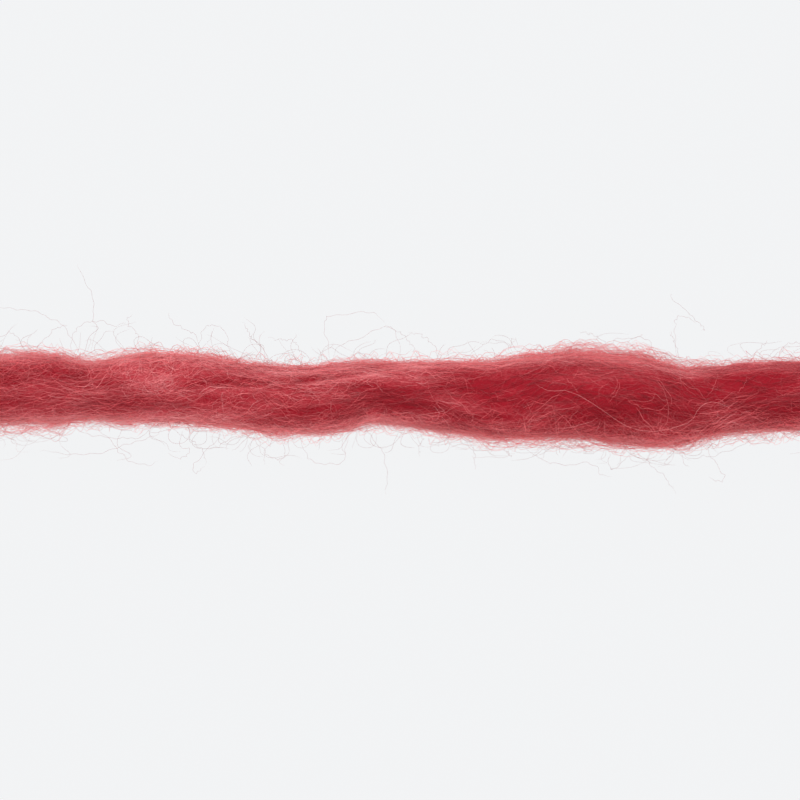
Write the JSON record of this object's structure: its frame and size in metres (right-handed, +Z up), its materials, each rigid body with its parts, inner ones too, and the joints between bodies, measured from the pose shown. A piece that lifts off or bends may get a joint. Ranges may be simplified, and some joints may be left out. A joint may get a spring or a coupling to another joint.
{
  "type": "knitting yarn strand",
  "caption": "Straight cut length of soft, barely twisted wool yarn for knitting, thick and thin along its length, with a fuzzy surface.",
  "frame": {"origin": "on the surface that the strand lies on, under the middle of its footprint", "axes": "+X along the strand, +Y across it, +Z up"},
  "size_m": [0.11, 0.01, 0.0082],
  "materials": {
    "red_wool": "matt, fibrous, slightly translucent wool"
  },
  "bodies": {
    "root": {"yarn_strand": "red_wool"}
  },
  "joints": []
}
